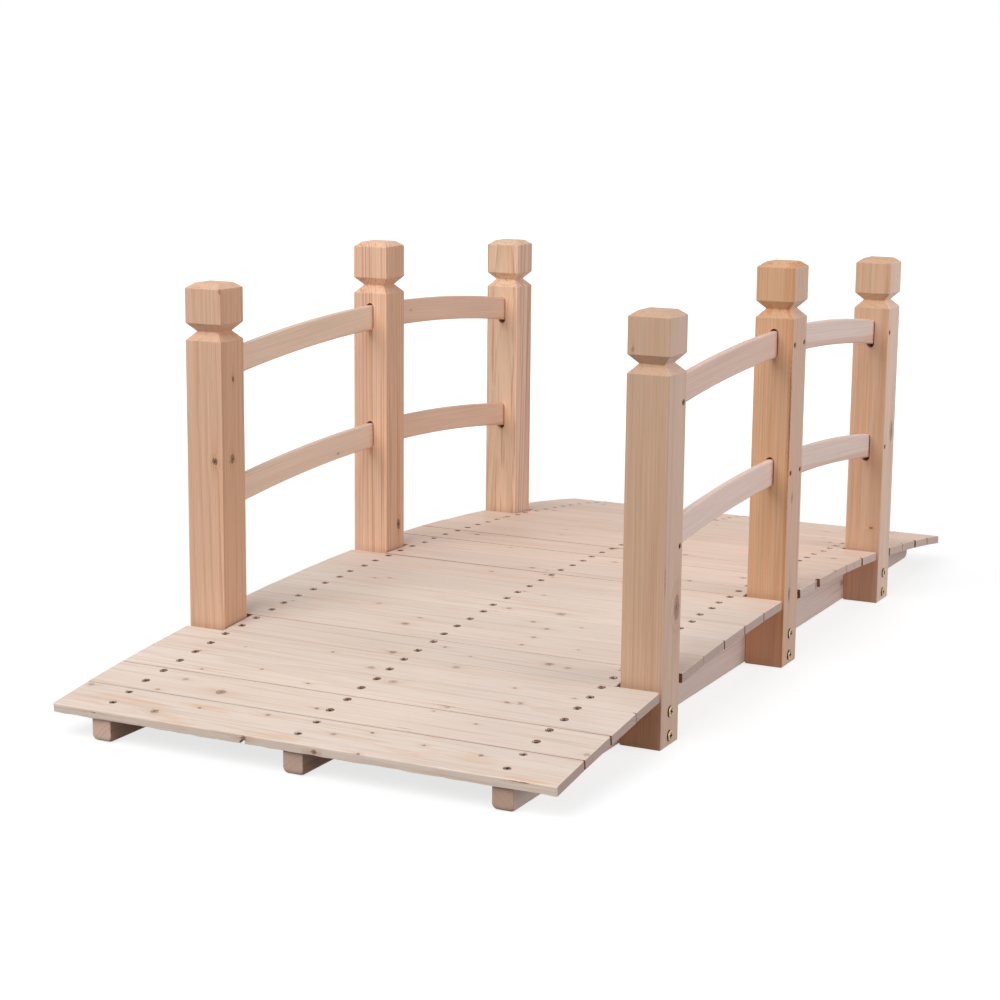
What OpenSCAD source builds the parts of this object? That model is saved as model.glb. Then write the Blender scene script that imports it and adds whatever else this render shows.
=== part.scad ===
// Garden moon bridge in unfinished softwood: a low arched deck of cross boards on three stringers,
// with two railings of arched rails let into square posts.
// X runs along the bridge, Y across it with the left railing at +Y, and Z up from the ground.

/* [Deck] */
// Length of a full deck board, across the bridge
board_l = 656; // [600:1:900]
// Width of each deck board, along the bridge
board_w = 69.6; // [62:0.1:90]
// Thickness of the deck boards
board_t = 12; // [8:0.5:24]
// Bevel along the long edges of each deck board
board_bevel = 0.8; // [0.2:0.1:2]
// Joint between two deck boards, at their undersides
board_gap = 0.4; // [0.2:0.1:3]
// Room between the end of a short board and the post beside it
short_gap = 3; // [1:0.5:10]
// How far the end boards run past the stringers
deck_overhang = 5; // [1:1:30]

/* [Stringers] */
// Radius of the arched top edge
arch_r = 5020; // [4400:10:9000]
// Height of a stringer at the crown of the arch
stringer_mid_h = 82; // [74:1:140]
// Thickness of each stringer
stringer_t = 26; // [18:1:45]
// Spread over the outer faces of the two outer stringers
stringer_spread = 555; // [480:1:700]
// Bevel along the lower edges of each stringer
stringer_bevel = 2.5; // [0.5:0.5:6]
// Cut across the lower corner of each stringer end
stringer_toe = 6; // [1:1:14]

/* [Posts] */
// Side of the square posts
post_w = 53; // [44:1:60]
// Bevel along the upright edges of the posts
post_bevel = 1.2; // [0.4:0.1:4]
// Height of plain post between the upper rail and the groove below the head
neck_h = 17; // [10:1:60]
// Height of the V groove below the head
groove_h = 22; // [12:1:40]
// Depth of the V groove
groove_d = 10.5; // [4:0.5:16]
// Height of the square head above the groove
head_h = 44; // [25:1:90]
// Height of the bevel round the top of the head
head_bevel_h = 7; // [2:0.5:20]
// Inset of the bevel round the top of the head
head_bevel_w = 9; // [3:0.5:20]

/* [Rails] */
// Height of each rail
rail_h = 35; // [25:1:60]
// Thickness of each rail
rail_t = 9; // [6:0.5:20]
// Bevel along the long edges of each rail
rail_bevel = 1.5; // [0.4:0.1:2.5]
// Radius of the top edge of the rails
rail_arch_r = 3100; // [2400:10:6000]
// Height of the upper rail's crown over the crown of the deck
rail_over_deck = 357; // [260:1:600]
// Drop from the upper rail to the lower rail
rail_drop = 170; // [80:1:220]
// Depth that each rail end is let into its post
tenon_l = 20; // [10:1:24]
// Room beside a rail in its mortise
mortise_side = 0.4; // [0.1:0.1:1]
// Room above and below a rail in its mortise
mortise_gap = 3; // [2.5:0.1:6]
// Room past the end of a rail in its mortise
tenon_gap = 0.3; // [0.1:0.1:0.8]

/* [Hidden] */
// Overrun of every cut past the face it leaves through
overrun = 1;
// Facets of a full circle, enough for the shallow arches
$fn = 1440;

// Number of deck boards, and how many boards lie from one post to the next
board_n = 21;
post_step = 6;
middle_board = (board_n - 1) / 2;
// Turn of the arch from one board to the next
board_turn = 2 * atan((board_w + board_gap) / 2 / arch_r);
// Height of the centre that the arch of the deck turns about
arch_z = stringer_mid_h - arch_r;
// Crown of the deck's walking face
deck_crown = stringer_mid_h + board_t;
short_l = stringer_spread - 2 * short_gap;
stringer_l = 2 * (arch_r * sin(board_turn * board_n / 2) - deck_overhang);

// Centre of a post across the bridge, and of an end post along it
post_y = (stringer_spread + post_w) / 2;
post_x = (arch_r + board_t / 2) * sin(post_step * board_turn);
// Near and far face of an end post's mortised side, measured from the middle of the bridge
end_face_x = post_x - post_w / 2;
middle_face_x = post_w / 2;

// Crown of the upper and the lower rail's top edge
rail_crowns = [deck_crown + rail_over_deck, deck_crown + rail_over_deck - rail_drop];
mortise_w = rail_t + 2 * mortise_side;
mortise_l = tenon_l + tenon_gap;

// Sides, stations along the bridge, bays and levels, with the words that name them
SIDES = [["left", 1], ["right", -1]];
STATIONS = [["near", -1], ["middle", 0], ["far", 1]];
BAYS = [["near", -1], ["far", 1]];
LEVELS = [["upper", rail_crowns[0]], ["lower", rail_crowns[1]]];
STRINGERS = [["left", 1], ["middle", 0], ["right", -1]];

function board_name(i) = str("deck_board_", i < 9 ? "0" : "", i + 1);
function stringer_name(s) = str("stringer_", s[0]);
function post_name(side, station) = str("post_", side[0], "_", station[0]);
function rail_name(side, bay, level) = str("rail_", side[0], "_", bay[0], "_", level[0]);

// True for the three boards that end between the posts
function is_short(i) = abs(i - middle_board) % post_step == 0 && abs(i - middle_board) <= post_step;

// Height of a rail's top and bottom edge at a distance x from the middle of the bridge
function rail_top_z(crown, x) = crown - rail_arch_r + sqrt(pow(rail_arch_r, 2) - pow(x, 2));
function rail_bottom_z(crown, x) = crown - rail_arch_r + sqrt(pow(rail_arch_r - rail_h, 2) - pow(x, 2));

// Distance from the middle of the bridge to the mortised face at a station
function face_x(station) = station[1] == 0 ? middle_face_x : end_face_x;
function groove_z(station) = rail_top_z(rail_crowns[0], face_x(station)) + neck_h;

// Rectangle with bevelled corners, from x = 0 and centred on y
module bevelled_rectangle(w, h, bevel) {
    half_h = h / 2;
    polygon([
        [bevel, -half_h], [w - bevel, -half_h], [w, bevel - half_h], [w, half_h - bevel],
        [w - bevel, half_h], [bevel, half_h], [0, half_h - bevel], [0, bevel - half_h],
    ]);
}

// One flat board that lies on the arch, square to it at its own middle
module deck_board(i) {
    length = is_short(i) ? short_l : board_l;
    color("wheat")
    translate([0, 0, arch_z])
    rotate([0, (i - middle_board) * board_turn, 0])
    translate([-board_w / 2, 0, arch_r + board_t / 2])
    rotate([90, 0, 0])
    linear_extrude(length, center = true)
    bevelled_rectangle(board_w, board_t, board_bevel);
}

// Side outline of a stringer: flat below, arched above, with its lower corners cut
module stringer_outline() {
    half_l = stringer_l / 2;
    intersection() {
        translate([0, arch_z])
        circle(arch_r);
        polygon([
            [-half_l, stringer_mid_h], [-half_l, stringer_toe], [stringer_toe - half_l, 0],
            [half_l - stringer_toe, 0], [half_l, stringer_toe], [half_l, stringer_mid_h],
        ]);
    }
}

// End outline of a stringer, with its lower edges bevelled
module stringer_section() {
    half_t = stringer_t / 2;
    polygon([
        [-half_t, stringer_bevel], [stringer_bevel - half_t, 0], [half_t - stringer_bevel, 0],
        [half_t, stringer_bevel], [half_t, stringer_mid_h + overrun], [-half_t, stringer_mid_h + overrun],
    ]);
}

module stringer(s) {
    color("tan")
    translate([0, s[1] * (stringer_spread - stringer_t) / 2, 0])
    intersection() {
        rotate([90, 0, 0])
        linear_extrude(stringer_t + 2 * overrun, center = true)
        stringer_outline();
        rotate([90, 0, 90])
        linear_extrude(stringer_l + 2 * overrun, center = true)
        stringer_section();
    }
}

// Outline of a post seen from any side: plain shaft, V groove, square head with a bevelled top
module post_outline(groove_base) {
    half_w = post_w / 2;
    groove_top = groove_base + groove_h;
    head_top = groove_top + head_h;
    side_points = [
        [half_w, 0], [half_w, groove_base], [half_w - groove_d, groove_base + groove_h / 2],
        [half_w, groove_top], [half_w, head_top], [half_w - head_bevel_w, head_top + head_bevel_h],
    ];
    polygon(concat(side_points, [for (i = [len(side_points) - 1:-1:0]) [-side_points[i][0], side_points[i][1]]]));
}

// Slot with round ends for a rail, cut into the face that looks along +X from the post's middle
module mortise(top, bottom) {
    r = mortise_w / 2;
    translate([post_w / 2 - mortise_l, 0, 0])
    rotate([0, 90, 0]) {
        for (z = [top - r, bottom + r])
            translate([-z, 0, 0])
            cylinder(h = mortise_l + overrun, r = r);
        translate([r - top, -r, 0])
        cube([top - bottom - mortise_w, mortise_w, mortise_l + overrun]);
    }
}

module post(side, station) {
    groove_base = groove_z(station);
    length = groove_base + groove_h + head_h + head_bevel_h;
    near_x = face_x(station);
    // Deepest point of a tenon from the middle of the bridge: past the face, or short of it at the middle
    far_x = station[1] == 0 ? near_x : near_x + mortise_l;
    facings = station[1] == 0 ? [1, -1] : [-station[1]];
    color("burlywood")
    translate([station[1] * post_x, side[1] * post_y, 0])
    difference() {
        intersection() {
            rotate([90, 0, 0])
            linear_extrude(post_w + 2 * overrun, center = true)
            post_outline(groove_base);
            rotate([90, 0, 90])
            linear_extrude(post_w + 2 * overrun, center = true)
            post_outline(groove_base);
            translate([-post_w / 2, 0, 0])
            linear_extrude(length)
            bevelled_rectangle(post_w, post_w, post_bevel);
        }
        for (facing = facings, level = LEVELS)
            mirror([facing < 0 ? 1 : 0, 0, 0])
            mortise(rail_top_z(level[1], near_x) + mortise_gap, rail_bottom_z(level[1], far_x) - mortise_gap);
    }
}

// One arched rail between a middle post and an end post, cut square at both ends
module rail(side, bay, level) {
    start_x = middle_face_x - tenon_l;
    end_x = end_face_x + tenon_l;
    sweep = asin((end_x + overrun) / (rail_arch_r - rail_h));
    color("bisque")
    translate([0, side[1] * post_y, 0])
    mirror([bay[1] < 0 ? 1 : 0, 0, 0])
    intersection() {
        translate([0, 0, level[1] - rail_arch_r])
        rotate([90, 0, 0])
        rotate([0, 0, 90 - sweep])
        rotate_extrude(angle = sweep)
        translate([rail_arch_r - rail_h, 0])
        bevelled_rectangle(rail_h, rail_t, rail_bevel);
        translate([start_x, -rail_t, 0])
        cube([end_x - start_x, 2 * rail_t, level[1] + overrun]);
    }
}

for (i = [0:board_n - 1])
    deck_board(i);
for (s = STRINGERS)
    stringer(s);
for (side = SIDES, station = STATIONS)
    post(side, station);
for (side = SIDES, bay = BAYS, level = LEVELS)
    rail(side, bay, level);
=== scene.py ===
"""Looks of an arched garden footbridge in bare softwood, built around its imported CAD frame.

X runs along the bridge, Y across it with the left railing at +Y, and Z up. Lengths are in metres.
"""
import math
import random
from typing import NamedTuple

import bmesh
import bpy
from mathutils import Matrix, Vector


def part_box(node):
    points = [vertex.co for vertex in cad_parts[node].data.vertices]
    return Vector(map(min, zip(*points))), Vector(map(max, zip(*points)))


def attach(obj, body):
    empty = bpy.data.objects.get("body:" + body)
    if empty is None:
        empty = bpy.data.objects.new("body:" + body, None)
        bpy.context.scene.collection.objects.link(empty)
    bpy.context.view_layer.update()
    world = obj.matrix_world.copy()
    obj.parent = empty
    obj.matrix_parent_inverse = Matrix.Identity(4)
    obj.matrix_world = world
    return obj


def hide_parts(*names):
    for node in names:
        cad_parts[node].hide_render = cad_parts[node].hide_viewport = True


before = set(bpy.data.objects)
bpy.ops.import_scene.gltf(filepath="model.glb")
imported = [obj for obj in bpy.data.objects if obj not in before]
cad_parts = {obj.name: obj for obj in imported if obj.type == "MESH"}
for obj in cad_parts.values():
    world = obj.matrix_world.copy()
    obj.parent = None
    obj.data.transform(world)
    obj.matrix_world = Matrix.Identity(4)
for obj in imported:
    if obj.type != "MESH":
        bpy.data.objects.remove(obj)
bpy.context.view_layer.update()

MM = 0.001
X_AXIS, Y_AXIS, Z_AXIS = Vector((1, 0, 0)), Vector((0, 1, 0)), Vector((0, 0, 1))
LINES = ("left", "middle", "right")
SIDES = {"left": 1, "right": -1}
BAYS = ("near", "far")
LEVELS = ("upper", "lower")
WHITE = (1, 1, 1, 1)
NO_TINT = (1.0, 1.0, 1.0)
SEED = 21
rng = random.Random(SEED)

# The photograph and the camera that took it
PHOTO_PX = 1000.0
PHOTO_MIDDLE = PHOTO_PX / 2
FOCAL_PX = 2228.3
SENSOR_MM = 36.0
CAMERA_AT = Vector((-2.7745, -1.2847, 0.7855))
CAMERA_AZIMUTH = -63.3626
CAMERA_ELEVATION = 10.9893
CAMERA_ROLL = 0.5547

# How far a normal leans along an axis on a face that looks that way, and on a square end
FACING = 0.6
SQUARE = 0.9
# The same on the shining faces of heads, the edges of boards, their broken corners and the arrises of posts
SHINE_FACING = 0.8
EDGE_FACING = 0.45
CORNER_FACING = 0.3
ARRIS_FACING = 0.2

# Steps of every rounding, and how smooth shading is weighted
ROUND_STEPS = 3
SHARP_ANGLE = 38
NORMAL_WEIGHT = 80

# Deck, as in the frame
BOARD_N = 21
MIDDLE_BOARD = 11
SHORT_BOARDS = (5, 11, 17)
ARCH_R = 5020 * MM
BOARD_PITCH = 70 * MM
crown_low, crown_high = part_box("deck_board_11")
BOARD_W = crown_high.x - crown_low.x
BOARD_T = crown_high.z - crown_low.z
ARCH_Z = crown_low.z - ARCH_R
BOARD_TURN = 2 * math.atan(BOARD_PITCH / 2 / ARCH_R)
BOARD_CELLS = 7
BOARD_STEP = 14 * MM
BOARD_EASE = 0.22 * MM
# Boards are pushed closer together than the frame's joints, but for a few joints that stand open
JOINT_SHUT = 0.1 * MM
OPEN_JOINTS = {1: 0.1 * MM, 2: 0.3 * MM}
# The edges of open joints are stained, and some boards stand proud at their left ends
STAIN = 0.09
STAIN_W = 2.6 * MM
BOARD_RISE = {6: 0.2 * MM, 11: 0.5 * MM, 13: 0.4 * MM, 14: 0.8 * MM}
BOARD_YAW = 0.012
FIRST_YAW = 0.03
BOARD_LIFT = 0.12 * MM
END_EASE = 0.5 * MM
END_CORNER = (0.6 * MM, 1.7 * MM)
END_RUN = 1.8 * MM
END_STRAY = 0.7 * MM
SHORT_STRAY = 0.6 * MM
# The front edge of the first board and the back edge of the last are round; the front one is worn unevenly
FRONT_ROUND = 1.8 * MM
FRONT_WANDER = 0.7 * MM
FRONT_WEAR = 0.5
# The near boards lie a little to the right of the middle, and full boards run a little long on the left
NEAR_SHIFT = -4.0 * MM
LEFT_LONG = 2.0 * MM
# Painted light: the first board's front edge is lightened, and the right ends of the far boards are lighter
# and cooler
FRONT_EDGE_LIGHT = (1.16, 1.13, 1.11)
FAR_END_LIGHT = (1.1, 1.2, 1.28)
# Boards past the first number are lighter; past the second they grow warmer, lighter and more streaky
# over the next few. Lightness is in hundredths.
LIGHT_START = 6
LIGHT_STEP = 4
FAR_START = 8
FAR_RUN = 6
FAR_HUE = (1.0, 0.91, 0.86)
FAR_LIGHT = 6
FAR_STREAKS = 0.25
FIRST_STREAKS = 1.1
# Painted shade: the near boards darken towards their right ends, by this many hundredths
RIGHT_SHADE = 7
RIGHT_START = -0.06
RIGHT_RUN = 0.14
SHADED_END = 9
SHADED_RUN = 4
# A knot has broken out of the lower front edge: rows of depth in mm and size cut it out
BITE_PIXEL = (241.6, 742.6)
BITE_R = 3.5 * MM
BITE_POINTS = 16
BITE_ROWS = ((-3, 1.15), (0, 1.0), (12, 1.0), (30, 0.9))
BITE_LOBES = 0.16
# Chips out of the ends of boards: where their walls carry painted shade, rows of depth and size, and an
# outline in half widths and in mm
CHIP_SHADE_TINT = (0.7, 0.82, 0.95)
CHIP_DEPTH = 4.0 * MM
CHIP_START = 0.2 * MM
CHIP_END = 1.2 * CHIP_DEPTH
CHIP_SIDE = 1.3
CHIP_ROWS = ((-4 * MM, 1.1), (0, 1.05), (CHIP_DEPTH * 0.6, 0.9), (CHIP_DEPTH, 0.6))
CHIP_OUTLINE = ((-1, -9), (0.9, -9), (1.1, -2), (0.85, 4), (1, 9), (-0.9, 9), (-1.1, 3), (-0.9, -3))

# Stringers
STRINGER_LOWER_ROUND = 4.5 * MM
STRINGER_UPPER_EASE = 0.6 * MM
STRINGER_TOE = 6 * MM
TOE_STEPS = (0, 0.6 * MM, 1.2 * MM, 2.2 * MM, 3.6 * MM, STRINGER_TOE)
STRINGER_STEP = 18 * MM
STRINGER_KNOTS = 5
STRINGER_PITH = {"left": -60, "middle": -60, "right": 70}
# Painted shade on the stringer sides that lie wholly under the deck
UNDER_DECK_SHADE = (0.84, 0.68, 0.58)
STRINGER_END_TINT = {"left": (1.06, 0.99, 0.94), "middle": (0.9, 0.84, 0.8), "right": (0.78, 0.72, 0.66)}

# Rails and their mortises
RAIL_R = 3100 * MM
RAIL_H = 35 * MM
RAIL_ROUND = 2.0 * MM
RAIL_STEP = 9 * MM
RAIL_SLOPE = 0.068
MORTISE_SIDE = 1.4 * MM
MORTISE_WIDE_GAP = 3.2 * MM
MORTISE_TIGHT_GAP = 0.6 * MM
MORTISE_DEPTH = 20.3 * MM
MORTISE_STEPS = 12

# Posts
POST_ARRIS = 1.1 * MM
POST_STEP = 12 * MM
GROOVE_H = 22 * MM
GROOVE_D = 10.5 * MM
HEAD_H = 44 * MM
HEAD_BEVEL_H = 7 * MM
HEAD_BEVEL_W = 9 * MM
# The top is a little domed, and the corners of a post's outline are eased, from the foot up
HEAD_DOME_H = 0.4 * MM
HEAD_DOME_W = 6 * MM
FOOT_EASE = 1.0 * MM
POST_EASES = (0.5 * MM, 0.6 * MM, 0.5 * MM, 0.6 * MM, 0.8 * MM, 1.2 * MM)
# The painted light on post fronts below the deck grows to full over this height
FOOT_FADE = 14 * MM

# Fasteners
DECK_SCREW_R = 4.3 * MM
DECK_SCREW_SINK = 0.7 * MM
DECK_HOLE_R = 5.2 * MM
DECK_HOLE_DEPTH = 4 * MM
DECK_SCREW_FRONT = -9 * MM
DECK_SCREW_BACK = 26 * MM
DECK_SCREW_STRAY = 1.8 * MM
# How far each line of screws lies to the left of its stringer's middle
SCREW_ASIDE = {"left": 1.5 * MM, "middle": 6 * MM, "right": 6.5 * MM}
RAIL_SCREW_R = 3.4 * MM
RAIL_SCREW_IN = 8 * MM
RAIL_SCREW_SINK = 0.9 * MM
RAIL_HOLE_R = 4.0 * MM
RAIL_HOLE_DEPTH = 3.5 * MM
BOLT_R = 6.9 * MM
BOLT_HEIGHTS = (12.5 * MM, 42 * MM)


def unit(value):
    """The value, kept between 0 and 1."""
    return min(1.0, max(0.0, value))


def stray(most):
    """A random number no further than this from 0."""
    return rng.uniform(-most, most)


def shade(level, hue=NO_TINT):
    """A tint that is lighter or darker by this many hundredths."""
    return tuple(part * (1 + level / 100) for part in hue)


def partly(tint, share):
    """A share of a tint."""
    return tuple(1 + (part - 1) * share for part in tint)


# Camera

def camera_axes():
    """Right, up and back of the camera."""
    azimuth, elevation, roll = map(math.radians, (CAMERA_AZIMUTH, CAMERA_ELEVATION, CAMERA_ROLL))
    back = Vector((math.sin(azimuth) * math.cos(elevation),
                   -math.cos(azimuth) * math.cos(elevation), math.sin(elevation)))
    right = Z_AXIS.cross(back).normalized()
    up = back.cross(right)
    turned_right = right * math.cos(roll) + up * math.sin(roll)
    turned_up = up * math.cos(roll) - right * math.sin(roll)
    return turned_right, turned_up, back


def add_camera():
    data = bpy.data.cameras.new("camera")
    data.sensor_width = SENSOR_MM
    data.lens = FOCAL_PX / PHOTO_PX * SENSOR_MM
    camera = bpy.data.objects.new("camera", data)
    camera.matrix_world = Matrix.Translation(CAMERA_AT) @ Matrix(camera_axes()).transposed().to_4x4()
    bpy.context.scene.collection.objects.link(camera)
    bpy.context.scene.camera = camera


def pixel_ray(pixel):
    right, up, back = camera_axes()
    return (right * (pixel[0] - PHOTO_MIDDLE) - up * (pixel[1] - PHOTO_MIDDLE)) / FOCAL_PX - back


def deck_point(pixel):
    """Where the walking face of the deck lies under a pixel of the photograph."""
    ray = pixel_ray(pixel)
    radius = ARCH_R + BOARD_T
    start = CAMERA_AT - Vector((0, 0, ARCH_Z))
    a = ray.x ** 2 + ray.z ** 2
    b = start.x * ray.x + start.z * ray.z
    c = start.x ** 2 + start.z ** 2 - radius ** 2
    return CAMERA_AT + ray * ((-b - math.sqrt(b * b - a * c)) / a)


def plane_point(pixel, axis, value):
    """Where the plane at this value of axis 0, 1 or 2 lies under a pixel of the photograph."""
    ray = pixel_ray(pixel)
    return CAMERA_AT + ray * ((value - CAMERA_AT[axis]) / ray[axis])


def front_point(pixel):
    """Where the front edge of the deck lies under a pixel of the photograph."""
    return plane_point(pixel, 0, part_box("deck_board_01")[0].x)


def right_end_point(pixel):
    """Where the right ends of the boards lie under a pixel of the photograph."""
    return plane_point(pixel, 1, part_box("deck_board_01")[0].y)


# Mesh building

def split(a, b, cells):
    """Points that divide the way from a to b, without a and b: into a number of cells, or at shares of it."""
    shares = [k / cells for k in range(1, cells)] if isinstance(cells, int) else cells
    return [tuple(p + (q - p) * share for p, q in zip(a, b)) for share in shares]


def rounded_outline(x0, x1, y0, y1, radii, cells):
    """Points round a rectangle, anticlockwise from its lower left corner.
    Each corner has its own radius; cells divide the sides along x and along y."""
    corners = ((x0, y0, 1, 1), (x1, y0, -1, 1), (x1, y1, -1, -1), (x0, y1, 1, -1))
    points = []
    for k, (x, y, dx, dy) in enumerate(corners):
        r = radii[k]
        arc = []
        for step in range(ROUND_STEPS + 1):
            angle = math.radians(180 + 90 * k + 90 * step / ROUND_STEPS)
            arc.append((x + dx * r + r * math.cos(angle), y + dy * r + r * math.sin(angle)))
        if points:
            points += split(points[-1], arc[0], cells[(k + 1) % 2])
        points += arc
    points += split(points[-1], points[0], cells[1])
    return points


def inset_outline(outline, x0, x1, y0, y1, inset_x, inset_y):
    """The outline drawn in towards the middle of its rectangle."""
    mid_x, mid_y = (x0 + x1) / 2, (y0 + y1) / 2
    scale_x, scale_y = 1 - 2 * inset_x / (x1 - x0), 1 - 2 * inset_y / (y1 - y0)
    return [(mid_x + (x - mid_x) * scale_x, mid_y + (y - mid_y) * scale_y) for x, y in outline]


def eased_path(points, radii):
    """A row of (half width, height) points with its inner corners rounded."""
    path = [points[0]]
    for before, corner, after, radius in zip(points, points[1:], points[2:], radii):
        b, c, a = Vector(before), Vector(corner), Vector(after)
        start = c + (b - c).normalized() * radius
        end = c + (a - c).normalized() * radius
        for step in range(ROUND_STEPS + 1):
            t = step / ROUND_STEPS
            p = start * (1 - t) ** 2 + c * 2 * t * (1 - t) + end * t ** 2
            path.append((p.x, p.y))
    path.append(points[-1])
    return path


def with_cells(path, longest):
    """The path with its long steps divided."""
    out = [path[0]]
    for a, b in zip(path, path[1:]):
        out += split(a, b, max(1, math.ceil(math.dist(a, b) / longest)))
        out.append(b)
    return out


def spread(start, end, longest):
    """Evenly spaced numbers from start to end, no further apart than longest."""
    count = max(1, math.ceil(abs(end - start) / longest))
    return [start + (end - start) * k / count for k in range(count + 1)]


def add_skin(bm, loops):
    """Closed skin over a row of loops with the same number of points each."""
    rows = [[bm.verts.new(p) for p in loop] for loop in loops]
    count = len(rows[0])
    faces = []
    for a, b in zip(rows, rows[1:]):
        for i in range(count):
            k = (i + 1) % count
            faces.append(bm.faces.new((a[i], a[k], b[k], b[i])))
    faces.append(bm.faces.new(list(reversed(rows[0]))))
    faces.append(bm.faces.new(rows[-1]))
    bmesh.ops.recalc_face_normals(bm, faces=faces)


def to_object(bm, name):
    mesh = bpy.data.meshes.new(name)
    bm.to_mesh(mesh)
    bm.free()
    piece = bpy.data.objects.new(name, mesh)
    bpy.context.scene.collection.objects.link(piece)
    return piece


def skin_object(name, loops):
    bm = bmesh.new()
    add_skin(bm, loops)
    return to_object(bm, name)


def cut(piece, cutter):
    """Takes the cutter's solid out of the piece, and removes the cutter."""
    change = piece.modifiers.new("cut", "BOOLEAN")
    change.operation = "DIFFERENCE"
    change.solver = "EXACT"
    change.object = cutter
    bpy.context.view_layer.update()
    depsgraph = bpy.context.evaluated_depsgraph_get()
    mesh = bpy.data.meshes.new_from_object(piece.evaluated_get(depsgraph))
    piece.modifiers.clear()
    old = piece.data
    piece.data = mesh
    bpy.data.meshes.remove(old)
    cutter_mesh = cutter.data
    bpy.data.objects.remove(cutter)
    bpy.data.meshes.remove(cutter_mesh)
    mesh.name = piece.name


def soften(piece):
    """Smooth shading that stays flat on flat faces."""
    piece.data.shade_smooth()
    piece.data.set_sharp_from_angle(angle=math.radians(SHARP_ANGLE))
    normals = piece.modifiers.new("normals", "WEIGHTED_NORMAL")
    normals.keep_sharp = True
    normals.weight = NORMAL_WEIGHT


def ring(at, axes, radius, height):
    """A circle of points about at, in the plane of the first two axes, lifted along the third."""
    count, phase = 24, -15.0
    points = []
    for k in range(count):
        angle = math.radians(phase + 360 * k / count)
        out = axes[0] * math.cos(angle) + axes[1] * math.sin(angle)
        points.append(at + out * radius + axes[2] * height)
    return points


def cross(at, axes, arm, height):
    """The outline of a cross recess, with as many points as ring()."""
    half = arm * 0.3
    mid = (arm + half) / 2
    one_arm = ((arm, -half * 0.8), (arm * 1.05, 0), (arm, half * 0.8), (mid, half), (half, half), (half, mid))
    points = []
    for c, s in ((1, 0), (0, 1), (-1, 0), (0, -1)):
        for x, y in one_arm:
            points.append(at + axes[0] * (x * c - y * s) + axes[1] * (x * s + y * c) + axes[2] * height)
    return points


def add_turned(bm, at, normal, spin, rows):
    """A solid about a normal at a point, over rows of shape, size and height."""
    first = normal.orthogonal().normalized()
    turned = first * math.cos(spin) + normal.cross(first) * math.sin(spin)
    axes = (turned, normal.cross(turned), normal)
    add_skin(bm, [shape(at, axes, size, height) for shape, size, height in rows])


# Materials

def srgb(red, green, blue):
    """A colour written as on screen, in the numbers that shaders use."""
    def linear(value):
        value /= 255
        return value / 12.92 if value <= 0.04045 else ((value + 0.055) / 1.055) ** 2.4
    return linear(red), linear(green), linear(blue), 1.0


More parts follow.
